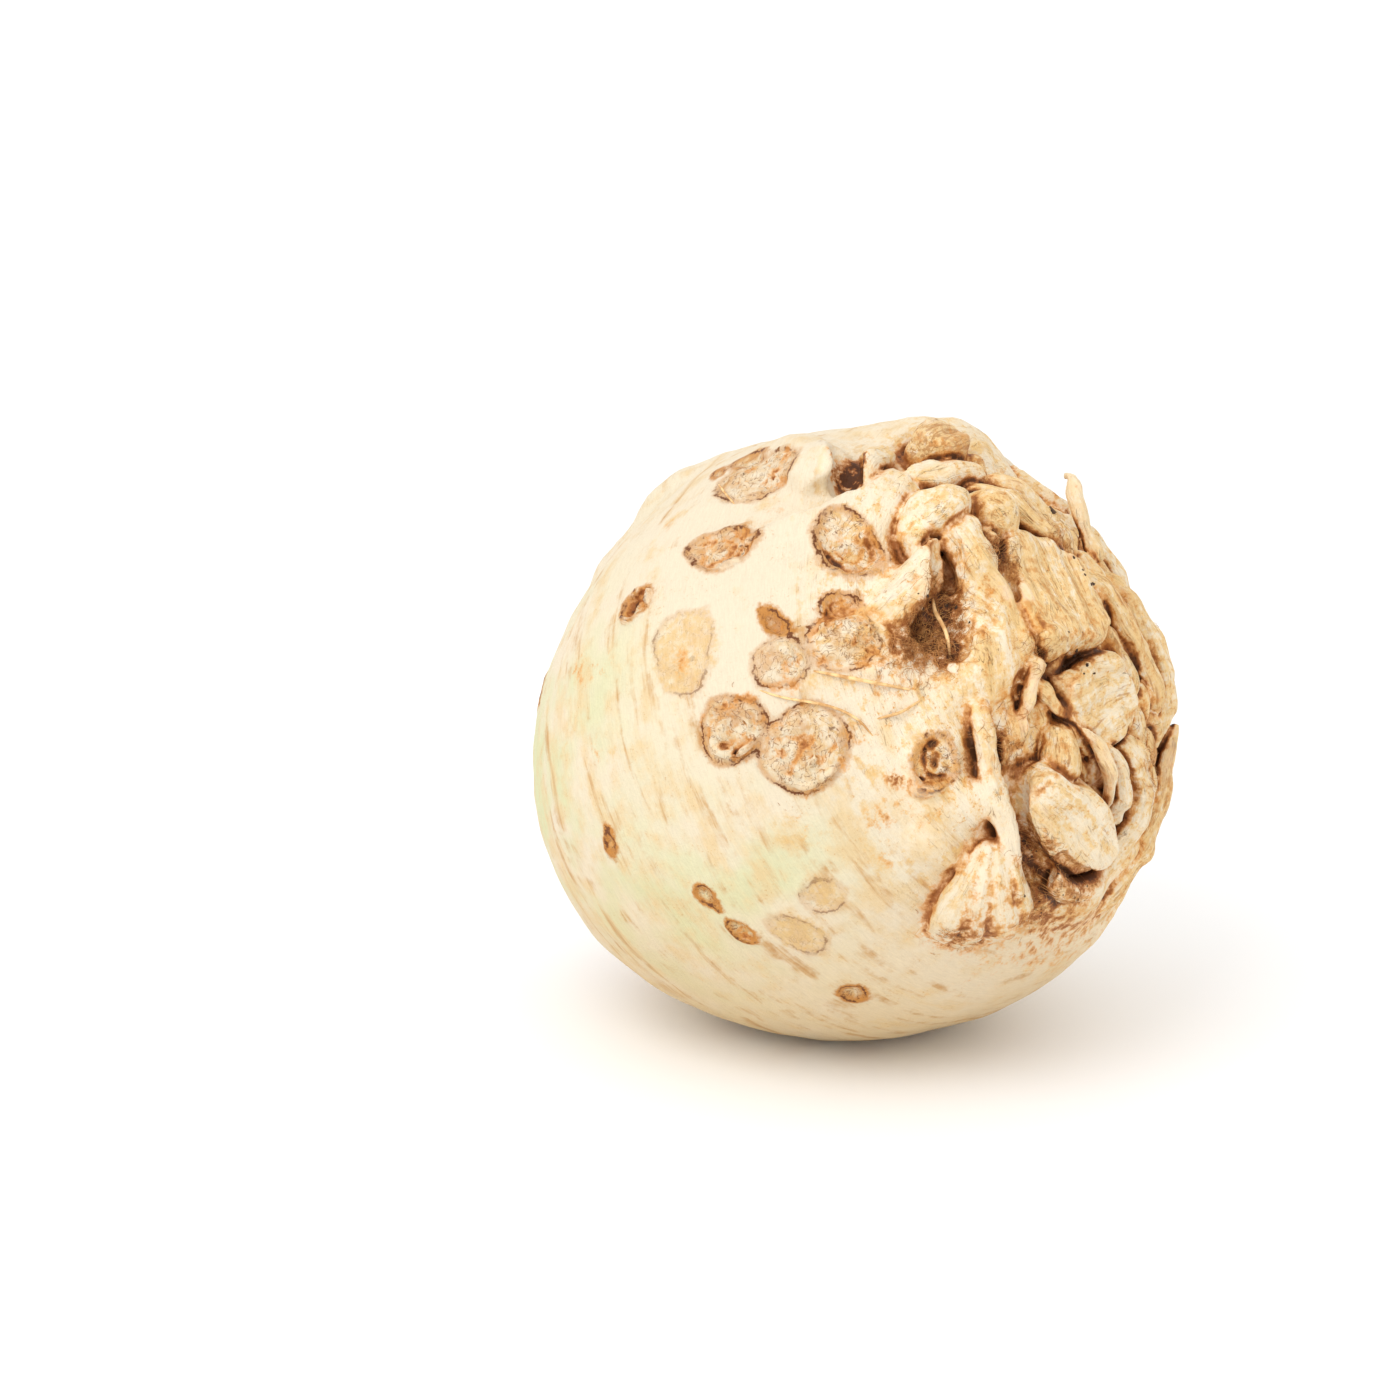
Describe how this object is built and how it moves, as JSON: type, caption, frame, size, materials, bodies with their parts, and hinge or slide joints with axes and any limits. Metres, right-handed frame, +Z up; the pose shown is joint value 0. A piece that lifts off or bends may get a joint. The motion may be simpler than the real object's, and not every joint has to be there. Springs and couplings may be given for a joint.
{
  "type": "celeriac root",
  "caption": "Whole celeriac root: a round cream ball with a knobbly tangle of side roots and cut stumps at one end and a trimmed leaf crown at the other, lying on its side.",
  "frame": {"origin": "centre of the small flat spot that the root lies on, straight below the middle of the body", "axes": "+Z up; the root end, with its tangle of side roots, faces +X, -Y and a little up; the trimmed leaf crown faces -X, +Y and a little down"},
  "size_m": [0.1236, 0.1205, 0.1219],
  "materials": {
    "celeriac_skin": null
  },
  "bodies": {
    "root": {"celeriac_root": "celeriac_skin"}
  },
  "joints": []
}
